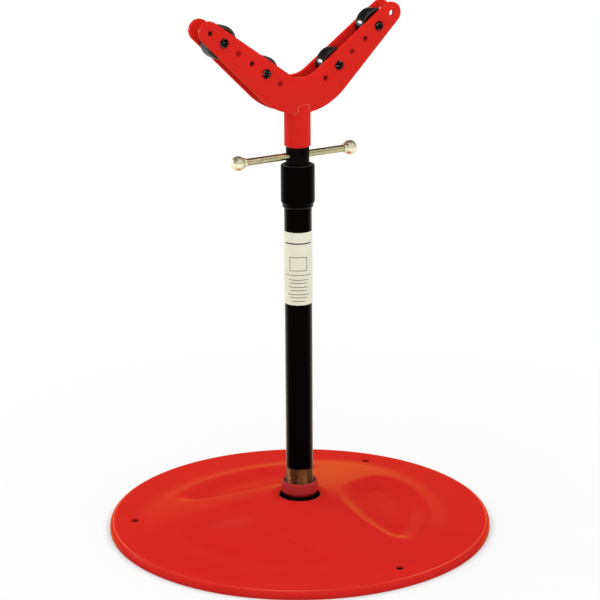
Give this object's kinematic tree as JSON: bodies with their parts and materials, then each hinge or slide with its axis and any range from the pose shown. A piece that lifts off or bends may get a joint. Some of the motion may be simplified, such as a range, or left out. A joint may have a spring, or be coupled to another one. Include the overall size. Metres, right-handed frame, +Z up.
{
  "type": "pipe jack stand",
  "caption": "Floor stand for pipe: a round pressed base, a pipe column, a screw jack with a sliding T-handle, and a swivelling V head with rollers.",
  "frame": {"origin": "centre of the round base on the floor; the column, screw and head turn about this vertical line", "axes": "+Z up along the column; X along the V head's plates, from the left arm to the right arm; +Y along the roller bolts, from their heads to their nuts"},
  "size_m": [0.5958, 0.5958, 0.8124],
  "materials": {
    "red_paint": "glossy red paint",
    "black_paint": "satin black paint",
    "roller_black": "glossy black coating",
    "black_oxide": "oiled black oxide",
    "yellow_zinc": "pale yellow zinc plating",
    "bare_steel": "bare turned steel",
    "bronze": "machined bearing bronze",
    "label_film": "blank printed film"
  },
  "bodies": {
    "stand": {"base_plate": "red_paint", "hub_coupling": "red_paint", "hub_doubler": "red_paint", "hub_weld": "red_paint", "column_pipe": "black_paint", "column_label": "label_film", "jack_collar": "black_paint", "collar_weld": "black_paint", "jack_nut": "bronze"},
    "carrier": {"thrust_washer": "bronze"},
    "screw": {"jack_screw": "black_oxide", "retaining_ring": "bare_steel", "stop_washer": "bare_steel", "stop_bolt": "black_oxide"},
    "handle": {"handle_bar": "yellow_zinc", "handle_ball_left": "yellow_zinc", "handle_ball_right": "yellow_zinc"},
    "head": {"socket_tube": "red_paint", "front_plate": "red_paint", "rear_plate": "red_paint", "bolt_left_outer": "black_oxide", "sleeve_left_outer": "bare_steel", "washer_left_outer": "black_oxide", "nut_left_outer": "black_oxide", "bolt_left_inner": "black_oxide", "sleeve_left_inner": "bare_steel", "washer_left_inner": "black_oxide", "nut_left_inner": "black_oxide", "bolt_right_inner": "black_oxide", "sleeve_right_inner": "bare_steel", "washer_right_inner": "black_oxide", "nut_right_inner": "black_oxide", "bolt_right_outer": "black_oxide", "sleeve_right_outer": "bare_steel", "washer_right_outer": "black_oxide", "nut_right_outer": "black_oxide"},
    "left_outer_roller": {"roller_left_outer": "roller_black"},
    "left_inner_roller": {"roller_left_inner": "roller_black"},
    "right_inner_roller": {"roller_right_inner": "roller_black"},
    "right_outer_roller": {"roller_right_outer": "roller_black"}
  },
  "joints": [
    {"name": "screw_lift", "type": "slide", "parent": "stand", "child": "carrier", "axis": [0, 0, 1], "range_m": [0, 0.3556]},
    {"name": "screw_turn", "type": "hinge", "parent": "carrier", "child": "screw", "pos_m": [0, 0, 0], "axis": [0, 0, 1], "range_deg": [0, 20160]},
    {"name": "handle_slide", "type": "slide", "parent": "screw", "child": "handle", "axis": [1, 0, 0], "range_m": [-0.063, 0.073]},
    {"name": "head_swivel", "type": "hinge", "parent": "carrier", "child": "head", "pos_m": [0, 0, 0], "axis": [0, 0, 1], "continuous": true},
    {"name": "left_outer_roller_spin", "type": "hinge", "parent": "head", "child": "left_outer_roller", "pos_m": [-0.1346, 0, 0.77852], "axis": [0, 1, 0], "continuous": true},
    {"name": "left_inner_roller_spin", "type": "hinge", "parent": "head", "child": "left_inner_roller", "pos_m": [-0.06348, 0, 0.7261], "axis": [0, 1, 0], "continuous": true},
    {"name": "right_inner_roller_spin", "type": "hinge", "parent": "head", "child": "right_inner_roller", "pos_m": [0.06348, 0, 0.7261], "axis": [0, 1, 0], "continuous": true},
    {"name": "right_outer_roller_spin", "type": "hinge", "parent": "head", "child": "right_outer_roller", "pos_m": [0.1346, 0, 0.77852], "axis": [0, 1, 0], "continuous": true}
  ],
  "couplings": [
    {"joint": "screw_turn", "follows": "screw_lift", "rad_per_m": 989.48}
  ]
}
